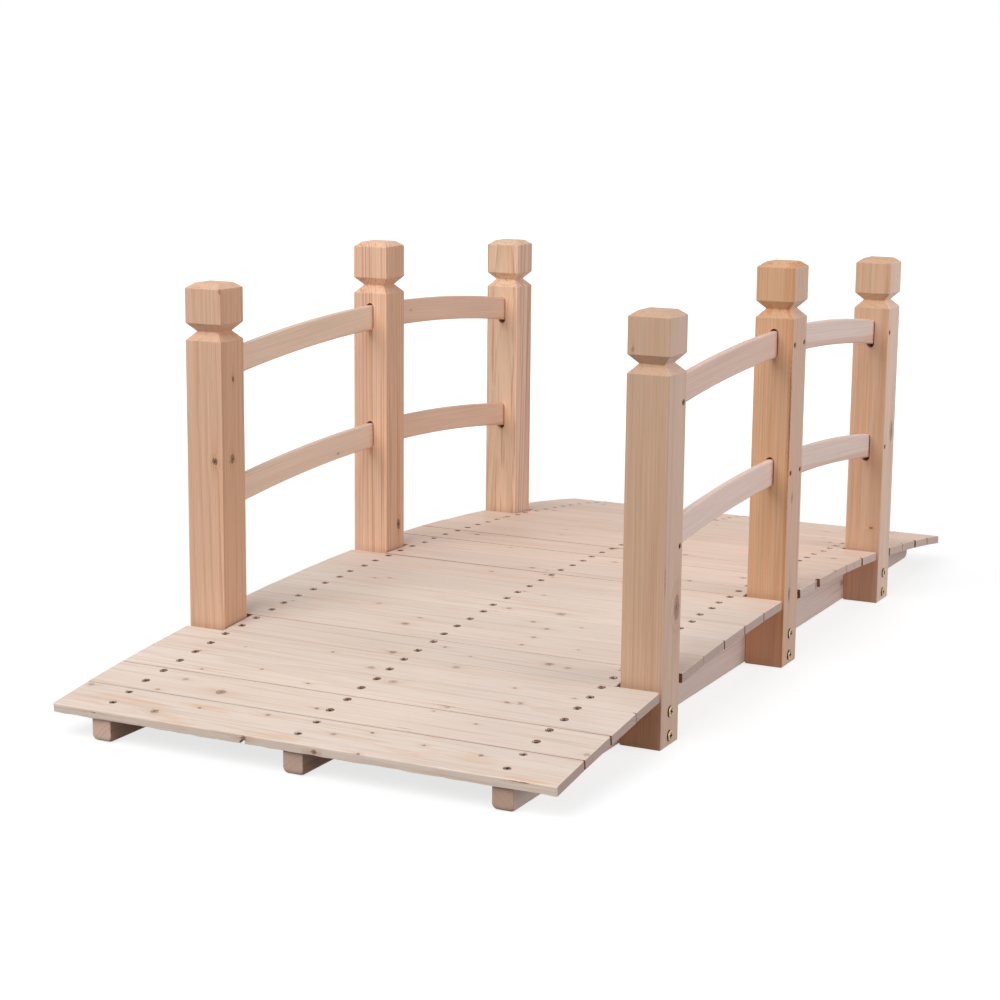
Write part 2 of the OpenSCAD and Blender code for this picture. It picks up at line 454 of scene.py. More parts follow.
class Graph:
    """Short names for the nodes of one material or world."""

    def __init__(self, owner):
        owner.use_nodes = True
        self.tree = owner.node_tree
        self.tree.nodes.clear()

    def feed(self, socket, value):
        if isinstance(value, bpy.types.NodeSocket):
            self.tree.links.new(value, socket)
        else:
            socket.default_value = value

    def node(self, kind, inputs=None, **settings):
        """A node with its settings, and its inputs by name or number."""
        node = self.tree.nodes.new(kind)
        for name, value in settings.items():
            setattr(node, name, value)
        for name, value in (inputs or {}).items():
            self.feed(node.inputs[name], value)
        return node

    def math(self, operation, *values, clamp=False):
        inputs = dict(enumerate(values))
        return self.node("ShaderNodeMath", inputs, operation=operation, use_clamp=clamp).outputs[0]

    def times(self, first, *others, clamp=False):
        """The product of two or more numbers; clamp keeps it between 0 and 1."""
        rest = self.times(*others) if len(others) > 1 else others[0]
        return self.math("MULTIPLY", first, rest, clamp=clamp)

    def plus(self, first, second):
        return self.math("ADD", first, second)

    def minus(self, first, second):
        return self.math("SUBTRACT", first, second)

    def vector(self, operation, *values):
        node = self.node("ShaderNodeVectorMath", dict(enumerate(values)), operation=operation)
        return node.outputs["Value" if operation == "LENGTH" else "Vector"]

    def noise(self, at, along, across, detail=2.0, roughness=0.55):
        """Noise from 0 to 1 in a space that is scaled along the fibre and across it."""
        place = self.vector("MULTIPLY", at, (along, across, across))
        inputs = {"Vector": place, "Scale": 1.0, "Detail": detail, "Roughness": roughness}
        return self.node("ShaderNodeTexNoise", inputs).outputs["Fac"]

    def ramp(self, value, *stops):
        """A grey level that goes through (place, level) stops."""
        node = self.node("ShaderNodeValToRGB", {"Fac": value})
        elements = node.color_ramp.elements
        while len(elements) < len(stops):
            elements.new(0.5)
        for element, (place, level) in zip(elements, stops):
            element.position = place
            element.color = (level, level, level, 1)
        return node.outputs["Color"]

    def mix(self, share, first, second, blend="MIX"):
        inputs = {0: share, 6: first, 7: second}
        return self.node("ShaderNodeMix", inputs, data_type="RGBA", blend_type=blend).outputs[2]

    def attribute(self, name, output="Vector"):
        return self.node("ShaderNodeAttribute", attribute_name=name).outputs[output]

    def parts(self, vector):
        """The three numbers of a vector."""
        return tuple(self.node("ShaderNodeSeparateXYZ", {0: vector}).outputs)

    def joined(self, *numbers):
        """A vector of three numbers."""
        return self.node("ShaderNodeCombineXYZ", dict(enumerate(numbers))).outputs[0]

    def grey(self, value):
        """A number as a grey colour."""
        return self.node("ShaderNodeCombineColor", {0: value, 1: value, 2: value}).outputs[0]

    def swing(self, value, amount):
        """A number from 0 to 1 as a swing about 0."""
        return self.times(self.minus(value, 0.5), amount)

    def bell(self, distance, steepness):
        """1 at no distance, falling to 0."""
        return self.math("EXPONENT", self.times(self.times(distance, distance), -steepness))

    def choose(self, share, first, second):
        """The output of one shader or the other."""
        inputs = {0: share, 1: first.outputs[0], 2: second.outputs[0]}
        return self.node("ShaderNodeMixShader", inputs).outputs[0]

    def show(self, surface, owner="Material"):
        """Sends a surface to the output of the material or world."""
        self.node("ShaderNodeOutput" + owner, {"Surface": surface})

    def coat(self, colour, rough, height, strength, depth, other):
        """Shows a principled surface with a fine relief and other inputs of its own."""
        relief = self.node("ShaderNodeBump", {"Strength": strength, "Distance": depth, "Height": height})
        inputs = {"Base Color": colour, "Roughness": rough, "Normal": relief.outputs[0], **other}
        self.show(self.node("ShaderNodeBsdfPrincipled", inputs).outputs[0])


KNOT_EYE = srgb(62, 38, 28)
# Stain colour, also used for painted shade in joints, chips and broken corners; tight joints get this share
STAIN_AND_SHADE = srgb(164, 114, 80)
TIGHT_JOINT_SHADE = 0.4
# Stops of late wood over one year, and of a knot from its middle out
SEASON = ((0.0, 0.0), (0.5, 0.08), (0.8, 0.6), (0.92, 1.0), (1.0, 0.0))
KNOT_BODY = ((0.0, 1.0), (0.3, 0.7), (0.5, 0.5), (0.66, 0.9), (0.84, 0.0))
WISP_STRETCH = 0.27
WOOD_COLOURS = ("early", "late", "streak", "heart", "end_early", "end_late", "knot")


def growth_rings(g, grain, ring_width, near_knot, knot_size, bend_size):
    """Late wood from 0 to 1, and the distance from the pith: rings of uneven width and strength,
    bent slowly along the log and pushed aside by knots."""
    along = g.parts(grain)[0]
    radius = g.vector("LENGTH", g.vector("MULTIPLY", grain, (0, 1, 1)))
    radius = g.plus(radius, g.swing(g.noise(grain, 1.6, 9), bend_size))
    radius = g.plus(radius, g.swing(g.noise(grain, 14, 70), 1.2 * MM))
    radius = g.plus(radius, g.times(near_knot, knot_size, 0.9))
    years = g.math("DIVIDE", radius, ring_width)
    slow = g.joined(g.times(years, 0.37), g.times(along, 0.5), 3.0)
    years = g.plus(years, g.swing(g.noise(slow, 1, 1), 2.4))
    season = g.ramp(g.math("FRACT", years), *SEASON)
    year = g.joined(g.times(g.math("FLOOR", years), 3.7), g.times(along, 1.5), 8.0)
    strength = g.ramp(g.noise(year, 1, 1), (0.32, 0.1), (0.66, 1.0))
    return g.times(season, strength), radius


def knot_reach(g, to_knot, stretch, size):
    """How far a point is from its knot, in knot radii, when lengths along the fibre are stretched."""
    stretched = g.vector("MULTIPLY", to_knot, g.joined(stretch, 1.0, 1.0))
    return g.math("DIVIDE", g.vector("LENGTH", stretched), size)


def with_knots(g, colour, grain, fibre, oval, wisp, dark, streak, knot):
    """The colour with its knots: a dark eye, a brown body with a rim, specks about it, and a flush and
    wings along the fibre."""
    colour = g.mix(g.times(g.bell(wisp, 0.5), dark, 0.38), colour, streak)
    wing = g.times(g.bell(wisp, 1.1), g.ramp(fibre, (0.48, 0.0), (0.62, 1.0)))
    colour = g.mix(g.times(wing, dark, 0.45), colour, knot)
    tear = g.plus(g.swing(g.noise(grain, 240, 420), 0.9), g.swing(g.noise(grain, 500, 1500), 0.7))
    ragged = g.plus(oval, tear)
    body = g.ramp(g.times(ragged, 0.8), *KNOT_BODY)
    colour = g.mix(g.times(body, dark, 1.15, clamp=True), colour, knot)
    specks = g.ramp(g.noise(grain, 150, 850), (0.54, 0.0), (0.64, 1.0))
    eye = g.math("MAXIMUM", g.times(g.bell(ragged, 9.0), dark), g.times(specks, g.bell(oval, 0.4), dark))
    return g.mix(g.times(eye, 0.75, clamp=True), colour, KNOT_EYE)


def wood(name, late_share, streak_share, bend_size, lick_scale, **colours):
    """Bare softwood. The grain attribute holds the place in the log: along the fibre, and two ways across
    from the pith. Figure holds ring width, heartwood radius and how streaky the wood is; knot_form holds
    the radius, darkness and stretch of the nearest knot; state holds 1 on end grain, how much stain and
    painted shade there is and how bold the rings are."""
    early, late, streak, heart, end_early, end_late, knot = (srgb(*colours[part]) for part in WOOD_COLOURS)
    material = bpy.data.materials.new(name)
    g = Graph(material)
    grain = g.attribute("grain")
    ring_width, heart_radius, streaks = g.parts(g.attribute("figure"))
    knot_size, knot_dark, knot_stretch = g.parts(g.attribute("knot_form"))
    cut_end, stain_and_shade, boldness = g.parts(g.attribute("state"))

    to_knot = g.vector("SUBTRACT", grain, g.attribute("knot"))
    oval = knot_reach(g, to_knot, knot_stretch, knot_size)
    wisp = knot_reach(g, to_knot, g.times(knot_stretch, WISP_STRETCH), knot_size)
    late_wood, radius = growth_rings(g, grain, ring_width, g.bell(oval, 0.25), knot_size, bend_size)
    fibre = g.noise(grain, 6, 560, detail=3.0, roughness=0.62)
    flecks = g.ramp(g.noise(grain, 34, 1300), (0.61, 0.0), (0.72, 1.0))
    hairlines = g.ramp(g.noise(grain, 2.4, 230), (0.58, 0.0), (0.66, 1.0))
    band = g.ramp(g.noise(grain, 1.1, 42, detail=3.0), (0.5, 0.0), (0.72, 1.0))
    lick = g.ramp(g.noise(grain, *lick_scale, detail=4.0, roughness=0.6), (0.53, 0.0), (0.68, 1.0))
    cloud = g.noise(grain, 2.6, 12)

    colour = g.mix(g.times(late_wood, boldness, late_share, clamp=True), early, late)
    warm = g.math("MAXIMUM", g.times(band, 0.6), lick)
    colour = g.mix(g.times(warm, streaks, streak_share, clamp=True), colour, streak)
    inside = g.times(g.minus(heart_radius, radius), 300.0, clamp=True)
    patchy = g.ramp(g.noise(grain, 2.2, 150), (0.3, 0.25), (0.6, 0.9))
    colour = g.mix(g.times(inside, patchy), colour, heart)
    colour = g.mix(g.times(flecks, 0.16), colour, late)
    colour = g.mix(g.times(hairlines, boldness, 0.36), colour, late)
    light = g.times(g.plus(1.0, g.swing(fibre, 0.34)), g.plus(1.0, g.swing(cloud, 0.16)))
    colour = g.mix(1.0, colour, g.grey(light), "MULTIPLY")
    sawn = g.mix(g.times(late_wood, 0.9), end_early, end_late)
    colour = g.mix(g.times(cut_end, 0.85), colour, sawn)
    colour = g.mix(1.0, colour, g.attribute("tint", "Color"), "MULTIPLY")
    colour = with_knots(g, colour, grain, fibre, oval, wisp, knot_dark, streak, knot)
    # Stains, and painted shade in joints and chips, pull the colour towards the stain colour
    colour = g.mix(stain_and_shade, colour, g.mix(1.0, colour, STAIN_AND_SHADE, "MULTIPLY"))

    rough = g.minus(g.plus(0.58, g.swing(fibre, 0.2)), g.times(late_wood, 0.06))
    height = g.minus(g.plus(g.times(fibre, 0.8), g.times(late_wood, 0.5)), g.times(flecks, 0.4))
    g.coat(colour, rough, height, 0.4, 0.3 * MM, {"Specular IOR Level": 0.25})
    return material


def metal(name, bright, dull, painted_shade, rough_low, rough_high):
    """Plated steel: bright on the faces of heads, dull in patches, with painted shade down their sides and in
    their recesses.
    """
    material = bpy.data.materials.new(name)
    g = Graph(material)
    place = g.node("ShaderNodeTexCoord").outputs["Object"]
    patch = g.ramp(g.noise(place, 260, 260, detail=3.0), (0.35, 0.0), (0.7, 1.0))
    scratch = g.noise(place, 2400, 900)
    face = g.mix(patch, srgb(*bright), srgb(*dull))
    colour = g.mix(g.attribute("shine", "Fac"), srgb(*painted_shade), face)
    rough = g.plus(rough_low, g.times(patch, rough_high - rough_low))
    g.coat(colour, g.plus(rough, g.times(scratch, 0.1)), scratch, 0.2, 0.05 * MM, {"Metallic": 1.0})
    return material


KNOT_BROWN = (126, 78, 50)
WOODS = {
    "deck_wood": wood(
        "deck_wood", late_share=0.42, streak_share=0.5, bend_size=8 * MM, lick_scale=(10, 62),
        early=(237, 221, 208), late=(208, 174, 152), streak=(230, 182, 148), heart=(226, 192, 172),
        end_early=(194, 166, 154), end_late=(158, 124, 108), knot=KNOT_BROWN),
    "stringer_wood": wood(
        "stringer_wood", late_share=0.5, streak_share=0.35, bend_size=6 * MM, lick_scale=(4, 130),
        early=(236, 210, 197), late=(190, 156, 140), streak=(220, 188, 174), heart=(206, 176, 164),
        end_early=(230, 202, 186), end_late=(186, 150, 132), knot=KNOT_BROWN),
    "post_wood": wood(
        "post_wood", late_share=0.62, streak_share=0.5, bend_size=5 * MM, lick_scale=(3, 130),
        early=(234, 195, 166), late=(176, 116, 82), streak=(222, 158, 112), heart=(214, 148, 100),
        end_early=(230, 192, 164), end_late=(186, 132, 98), knot=(112, 60, 44)),
    "rail_wood": wood(
        "rail_wood", late_share=0.5, streak_share=0.35, bend_size=9 * MM, lick_scale=(4, 130),
        early=(240, 214, 198), late=(208, 172, 150), streak=(226, 186, 162), heart=(225, 178, 154),
        end_early=(200, 172, 152), end_late=(160, 124, 104), knot=KNOT_BROWN),
}
DARK_STEEL = metal("dark_steel", (178, 158, 138), (110, 90, 74), (52, 38, 30), 0.34, 0.55)
BLACK_STEEL = metal("black_steel", (112, 92, 78), (70, 54, 44), (38, 27, 21), 0.4, 0.6)
BRASS_STEEL = metal("brass_steel", (206, 186, 146), (150, 128, 92), (72, 54, 36), 0.3, 0.48)


# Wood grain on a piece

KNOT_STRETCH = 0.62
DECK_STRETCH = 0.9
# Smaller knots count as this large when the nearest one is found; a piece without knots has one far off
LEAST_REACH = 3 * MM
FAR_OFF = 9
# Pieces come from places this far either way along one endless log
LOG_REACH = 40
SAP_STREAKS = 0.5


class Log(NamedTuple):
    """How a piece was sawn from its log: where the pith lies across the fibre from the piece's origin,
    how it drifts along the piece, and the look of the wood. Pith, ring_width and heart are in mm."""
    pith: tuple
    drift: tuple
    ring_width: float
    tint: tuple = NO_TINT
    streaks: float = 0.4
    heart: float = 0.0
    bold: float = 1.0


def set_values(mesh, name, kind, values, domain="FACE"):
    """Writes one value or vector for each face, corner or point of a mesh."""
    layer = mesh.attributes.new(name, kind, domain)
    layer.data.foreach_set("vector" if kind == "FLOAT_VECTOR" else "value", values)


def dress(piece, slot, axes, origin, log, knots, stain_and_shade=lambda face: 0.0,
          face_tint=lambda face, point: NO_TINT, is_sap=lambda face: False):
    """Gives a piece its wood. Axes are the fibre and two ways across it; knots are rows of point, radius,
    darkness and stretch. The next function gives a face's stain and painted shade, face_tint its own tint at
    a point, painted light and shade included, and is_sap tells which faces show no heartwood and few streaks."""
    mesh = piece.data
    offset = stray(LOG_REACH)

    def place(point):
        from_origin = point - origin
        along = from_origin.dot(axes[0])
        return Vector((along + offset,
                       from_origin.dot(axes[1]) - log.pith[0] * MM - log.drift[0] * along,
                       from_origin.dot(axes[2]) - log.pith[1] * MM - log.drift[1] * along))

    def reach(spot, here):
        """How far a spot is, in its own radii."""
        away = spot[0] - here
        away.x *= spot[3]
        return away.length / max(spot[1], LEAST_REACH)

    places = [number for vertex in mesh.vertices for number in place(vertex.co)]
    set_values(mesh, "grain", "FLOAT_VECTOR", places, "POINT")
    spots = [(place(point), radius, dark, stretch) for point, radius, dark, stretch in knots]
    if not spots:
        spots = [(Vector((offset + FAR_OFF, FAR_OFF, FAR_OFF)), 1 * MM, 0.0, KNOT_STRETCH)]
    looks = {name: [] for name in ("knot", "knot_form", "figure", "state")}
    tints = []
    for face in mesh.polygons:
        here = place(face.center)
        centre, radius, dark, stretch = min(spots, key=lambda spot: reach(spot, here))
        heart, streaks = (0.0, log.streaks * SAP_STREAKS) if is_sap(face) else (log.heart, log.streaks)
        on_end = abs(face.normal.dot(axes[0])) > SQUARE
        looks["knot"].extend(centre)
        looks["knot_form"].extend((radius, dark, stretch))
        looks["figure"].extend((log.ring_width * MM, heart * MM, streaks))
        looks["state"].extend((1.0 if on_end else 0.0, stain_and_shade(face), log.bold))
        for corner in face.vertices:
            tints.extend(a * b for a, b in zip(log.tint, face_tint(face, mesh.vertices[corner].co)))
    for name, values in looks.items():
        set_values(mesh, name, "FLOAT_VECTOR", values)
    set_values(mesh, "tint", "FLOAT_VECTOR", tints, "CORNER")
    mesh.materials.clear()
    mesh.materials.append(WOODS[slot])
    soften(piece)


def keep(piece, slot, *nodes):
    """Makes a piece part of the bridge, in the place of its CAD nodes."""
    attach(piece, "root")
    if nodes:
        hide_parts(*nodes)


def finish_metal(bm, name, finish, axis):
    """One piece of all the heads in bm; their faces look along the axis."""
    piece = to_object(bm, name)
    mesh = piece.data
    shines = [1.0 if abs(face.normal.dot(axis)) > SHINE_FACING else 0.0 for face in mesh.polygons]
    set_values(mesh, "shine", "FLOAT", shines)
    mesh.materials.append(finish)
    soften(piece)
    keep(piece, None)


# Fasteners

# Rows of shape, size in radii, and height: in radii for a flat head, and in mm for a bolt head
FLAT_HEAD = ((ring, 0.42, -0.75), (ring, 1, -0.14), (ring, 1, -0.04), (ring, 0.94, 0.03), (ring, 0.76, 0.03),
             (cross, 0.62, 0.0), (cross, 0.54, -0.16), (cross, 0.34, -0.42))
BOLT_HEAD = ((ring, 0.9, -2), (ring, 1, -0.3), (ring, 1, 1.2), (ring, 0.96, 1.6), (ring, 0.84, 1.95),
             (ring, 0.68, 2.15), (cross, 0.58, 2.2), (cross, 0.52, 1.4), (cross, 0.3, -0.4))


def add_countersink(bm, at, normal, mouth, depth):
    """A cutter that leaves a screw's conical seat."""
    add_turned(bm, at, normal, 0, ((ring, mouth * 0.45, -depth), (ring, mouth * 0.94, -depth * 0.3),
                                   (ring, mouth, 0), (ring, mouth * 1.02, 1 * MM)))


def add_flat_head(bm, at, normal, radius):
    """A countersunk screw head with a cross recess; at is the middle of its face."""
    rows = [(shape, size * radius, height * radius) for shape, size, height in FLAT_HEAD]
    add_turned(bm, at, normal, rng.uniform(0, math.pi), rows)


def add_bolt_head(bm, at, normal):
    """A low round bolt head with a cross recess, standing on the wood; at is on the wood's face."""
    rows = [(shape, size * BOLT_R, height * MM) for shape, size, height in BOLT_HEAD]
    add_turned(bm, at, normal, rng.uniform(0, math.pi), rows)


# Deck

# Knots seen on the walking face: place in the photograph, radius in mm and how dark they are
DECK_KNOTS = (
    (154.6, 711.2, 5.0, 0.7), (220.9, 692.1, 6.0, 0.65), (185.5, 679.3, 4.0, 0.4), (157.8, 689.5, 3.0, 0.45),
    (199.9, 708.0, 2.0, 0.8), (91.5, 684.4, 4.0, 0.4), (201.8, 669.1, 2.2, 0.6), (200.5, 650.6, 2.2, 0.5),
    (267.8, 715.1, 3.0, 0.55), (333.5, 734.2, 3.5, 0.5), (372.4, 732.9, 2.2, 0.7), (410.0, 730.7, 2.5, 0.7),
    (308.0, 683.6, 2.0, 0.7), (371.3, 667.6, 4.5, 0.4), (393.2, 681.8, 5.5, 0.4), (405.2, 623.8, 5.0, 0.55),
    (392.8, 652.3, 5.0, 0.6), (333.0, 652.0, 2.2, 0.7), (261.9, 669.3, 2.6, 0.5), (245.8, 646.6, 2.2, 0.35),
    (293.3, 600.7, 2.2, 0.4), (379.0, 603.5, 4.0, 0.3), (481.0, 755.5, 3.2, 0.6), (424.0, 745.3, 2.2, 0.6),
    (448.5, 706.6, 4.5, 0.85), (476.0, 724.2, 2.4, 0.5), (507.0, 702.5, 3.4, 0.5), (419.9, 618.0, 3.0, 0.5),
    (496.4, 611.0, 2.4, 0.4), (533.2, 621.8, 3.6, 0.5), (546.9, 629.0, 3.6, 0.6), (533.9, 637.4, 3.6, 0.5),
    (521.7, 644.8, 2.4, 0.7), (560.7, 614.2, 6.0, 0.5), (581.4, 627.8, 3.0, 0.35), (549.2, 664.2, 5.0, 0.6),
    (568.0, 668.0, 4.0, 0.4), (455.9, 667.3, 4.5, 0.4), (514.8, 688.0, 2.6, 0.45), (578.3, 650.0, 1.8, 0.6),
    (470.4, 656.3, 1.8, 0.6), (433.8, 711.2, 2.2, 0.4), (620.0, 670.4, 2.2, 0.7), (574.5, 698.4, 2.6, 0.4),
)
# The next three tables also say how stretched a knot is. Cracks in the walking face are long thin knots
DECK_CRACKS = ((446.0, 706.0, 0.8, 0.9, 0.06), (405.0, 728.5, 0.6, 0.7, 0.06))
# Knots and cracks on the front edge of the first board
FRONT_EDGE_KNOTS = (
    (94.6, 713.0, 0.9, 0.9, 0.1), (243.0, 739.0, 2.8, 0.9, 0.8), (313.1, 752.7, 3.4, 0.95, 0.9),
    (358.0, 753.7, 1.6, 0.8, 0.6), (528.0, 783.6, 0.7, 0.9, 0.03),
)
# Dark spots on the right ends of boards
RIGHT_END_KNOTS = (
    (835.0, 570.5, 3.0, 0.5, 1.0), (587.0, 755.5, 4.0, 0.4, 1.0), (593.5, 757.0, 2.0, 0.6, 1.0),
)
# Dark chips out of the right ends of boards: place in the photograph and half width in mm
END_CHIPS = ((816.9, 585.0, 6.5), (798.2, 595.0, 2.4), (861.3, 562.0, 2.2))
# Joints whose corners have broken away at the right ends, with the half width of the gap
OPEN_ENDS = {3: 0.9 * MM, 18: 2.4 * MM, 19: 3.0 * MM, 20: 2.8 * MM}


def arch_index(point):
    """The number of the board that lies under a point of the deck."""
    turn = math.atan2(point.x, point.z - ARCH_Z)
    return min(BOARD_N, max(1, round(turn / BOARD_TURN) + MIDDLE_BOARD))


def joint_point(joint):
    """The middle of the joint that follows the board of this number."""
    turn = (joint + 0.5 - MIDDLE_BOARD) * BOARD_TURN
    radius = ARCH_R + BOARD_T / 2
    return Vector((radius * math.sin(turn), 0, ARCH_Z + radius * math.cos(turn)))


def board_axes(i):
    """Fibre, walking direction and upright of a board, and the middle of its underside.
    A board is lifted and turned a little on its bed, as hand-laid boards are."""
    turn = (i - MIDDLE_BOARD) * BOARD_TURN
    yaw = math.radians(FIRST_YAW if i == 1 else stray(BOARD_YAW))
    forward = Vector((math.cos(turn), 0, -math.sin(turn)))
    up = Vector((math.sin(turn), 0, math.cos(turn)))
    rise = BOARD_RISE.get(i, 0)
    origin = Vector((0, 0, ARCH_Z)) + up * (ARCH_R + rng.uniform(0, BOARD_LIFT) + rise / 2)
    level = Y_AXIS * math.cos(yaw) + forward * math.sin(yaw)
    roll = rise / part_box(f"deck_board_{i:02d}")[1].y / 2
    fibre = level * math.cos(roll) + up * math.sin(roll)
    across = forward * math.cos(yaw) - Y_AXIS * math.sin(yaw)
    return (fibre, across, fibre.cross(across) * -1), origin


def on_board(axes, origin, forward, height, side):
    """A point of a board, from the middle of its underside."""
    return origin + axes[1] * forward + axes[2] * height + axes[0] * side


def board_ends(i, shift):
    """Where the right and the left end of a board lie across the bridge."""
    low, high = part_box(f"deck_board_{i:02d}")
    if i in SHORT_BOARDS:
        return low.y + stray(SHORT_STRAY), high.y + stray(SHORT_STRAY)
    return low.y + shift + stray(END_STRAY), high.y + LEFT_LONG + stray(END_STRAY)


def board_loops(i, axes, origin, ends):
    """Outlines along a board, drawn in at its two ends."""
    front, back = -BOARD_W / 2, BOARD_W / 2
    radii = [BOARD_EASE] * 4
    if i > 1:
        front += OPEN_JOINTS.get(i - 1, 0) / 2 - JOINT_SHUT
    else:
        radii[3] = FRONT_ROUND
    if i < BOARD_N:
        back -= OPEN_JOINTS.get(i, 0) / 2 - JOINT_SHUT
    else:
        radii[2] = FRONT_ROUND
    edge = STAIN_W / BOARD_W
    shares = [edge] + [k / BOARD_CELLS for k in range(1, BOARD_CELLS)] + [1 - edge]

    def outline(wear):
        worn = [r * (1 + FRONT_WEAR * wear) for r in radii]
        lost = wear * FRONT_WANDER
        return rounded_outline(front + lost, back, lost, BOARD_T, worn, (shares, 2))

    eased = inset_outline(outline(0.0), front, back, 0, BOARD_T, rng.uniform(*END_CORNER), END_EASE)
    rows = [(ends[0], eased)]
    for y in spread(ends[0] + END_RUN, ends[1] - END_RUN, BOARD_STEP):
        rows.append((y, outline(rng.random() if i == 1 else 0.0)))
    rows.append((ends[1], eased))
    return [[on_board(axes, origin, u, h, y) for u, h in row] for y, row in rows]


def board_screws(axes, origin, shift):
    """Places of the six screws of a board, on its walking face."""
    places = []
    for line in LINES:
        low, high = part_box("stringer_" + line)
        for u in (DECK_SCREW_FRONT, DECK_SCREW_BACK):
            forward = u + stray(DECK_SCREW_STRAY)
            aside = shift + SCREW_ASIDE[line] + stray(DECK_SCREW_STRAY)
            places.append(on_board(axes, origin, forward, BOARD_T, (low.y + high.y) / 2 + aside))
    return places


def add_bite(bm, at):
    """A cutter for a knot that has broken out of the front edge; at is on the front face."""
    loops = []
    for depth, size in BITE_ROWS:
        loop = []
        for k in range(BITE_POINTS):
            angle = math.tau * k / BITE_POINTS
            r = BITE_R * size * (1 + BITE_LOBES * math.sin(3 * angle + 1))
            out = Y_AXIS * r * math.cos(angle) + Z_AXIS * r * math.sin(angle)
            loop.append(at + X_AXIS * depth * MM + out)
        loops.append(loop)
    add_skin(bm, loops)


def end_chips(i):
    """Middles and half widths of the chips out of the right end of a board, which may reach into the next."""
    rows = []
    for px, py, half in END_CHIPS:
        point = right_end_point((px, py))
        if abs(arch_index(point) - i) <= 1:
            rows.append((point, half * MM))
    for joint, half in OPEN_ENDS.items():
        if i in (joint, joint + 1):
            rows.append((joint_point(joint), half))
    return rows


def add_chip(bm, at, half, end):
    """A cutter for a chip out of the end of a board; at is on the end and half is its half width."""
    loops = []
    for depth, size in CHIP_ROWS:
        loops.append([Vector((at.x + x * half * size, end + depth, at.z + z * MM)) for x, z in CHIP_OUTLINE])
    add_skin(bm, loops)


def seen_knots():
    """Knots of the deck by board, from their places in the photograph."""
    knots = {i: [] for i in range(1, BOARD_N + 1)}
    tables = ((deck_point, [row + (DECK_STRETCH,) for row in DECK_KNOTS]), (deck_point, DECK_CRACKS),
              (front_point, FRONT_EDGE_KNOTS), (right_end_point, RIGHT_END_KNOTS))
    for find, rows in tables:
        for px, py, radius, dark, stretch in rows:
            point = find((px, py))
            knots[arch_index(point)].append((point, radius * MM, dark, stretch))
    return knots


def stray_knots(i, axes, origin):
    """Knots of a board that the photograph does not show one by one, most of them on far boards."""
    count = rng.randint(2, 4) if i > FAR_START else rng.randint(0, 1)
    rows = []
    for _ in range(count):
        spot = on_board(axes, origin, stray(30) * MM, BOARD_T, stray(0.3))
        rows.append((spot, rng.uniform(1.8, 4.5) * MM, rng.uniform(0.4, 0.75), DECK_STRETCH))
    return rows


def deck_log(i):
    """Flat-sawn boards; the first has the boldest streaks, and the wood grows warmer towards the far end."""
    far = unit((i - FAR_START) / FAR_RUN)
    side = rng.choice((-1, 1))
    pith = (stray(60), side * rng.uniform(30, 80))
    drift = (stray(0.03), stray(0.02))
    light = stray(4) + (LIGHT_STEP if i > LIGHT_START else 0) + FAR_LIGHT * far
    streaks = FIRST_STREAKS if i == 1 else rng.uniform(0.1, 0.6) + FAR_STREAKS * far
    return Log(pith, drift, rng.uniform(2.4, 4.2), shade(light, partly(FAR_HUE, far)), streaks)


def joint_shade(i, forward):
    """Painted shade on an edge of a board that faces another board; forward is how far its normal looks
    ahead.
    """
    if forward < -EDGE_FACING and i > 1:
        return 1.0 if i - 1 in OPEN_JOINTS or i in BOARD_RISE else TIGHT_JOINT_SHADE
    if forward > EDGE_FACING and i < BOARD_N:
        return 1.0 if i in OPEN_JOINTS else TIGHT_JOINT_SHADE
    return 0.0


def board_stain_and_shade(i, axes, origin, face):
    """Painted shade in the joints, most of all in the broken corners at the ends, and stains beside open
    joints.
    """
    painted_shade = joint_shade(i, face.normal.dot(axes[1]))
    if painted_shade:
        return 1.0 if abs(face.normal.dot(axes[0])) > CORNER_FACING else painted_shade
    u = (face.center - origin).dot(axes[1])
    beside = i - 1 if u < 0 else i
    return STAIN if beside in OPEN_JOINTS and abs(u) > BOARD_W / 2 - STAIN_W else 0.0


def chip_shade(chips, end, face):
    """Painted shade on the walls of the chips, a little way in from the end."""
    inward = face.center.y - end
    if not CHIP_START <= inward <= CHIP_END or abs(face.normal.z) > FACING:
        return 0.0
    return 1.0 if any(abs(face.center.x - at.x) < CHIP_SIDE * half for at, half in chips) else 0.0


def is_front(i, face):
    """True on the front edge of the first board."""
    return i == 1 and face.normal.x < -FACING


def board_tint(i, chips, end, face, point):
    """How one face of a board differs from the rest: painted light on the first board's front edge and the
    far boards' right ends, painted shade in the chips and towards the right ends of the near boards.
    """
    if is_front(i, face):
        return FRONT_EDGE_LIGHT
    if chip_shade(chips, end, face):
        return CHIP_SHADE_TINT
    if abs(face.normal.y) > SQUARE:
        return FAR_END_LIGHT if i > MIDDLE_BOARD else NO_TINT
    near = unit((SHADED_END - i) / SHADED_RUN)
    aside = unit((RIGHT_START - point.y) / RIGHT_RUN)
    return shade(-RIGHT_SHADE * near * aside)


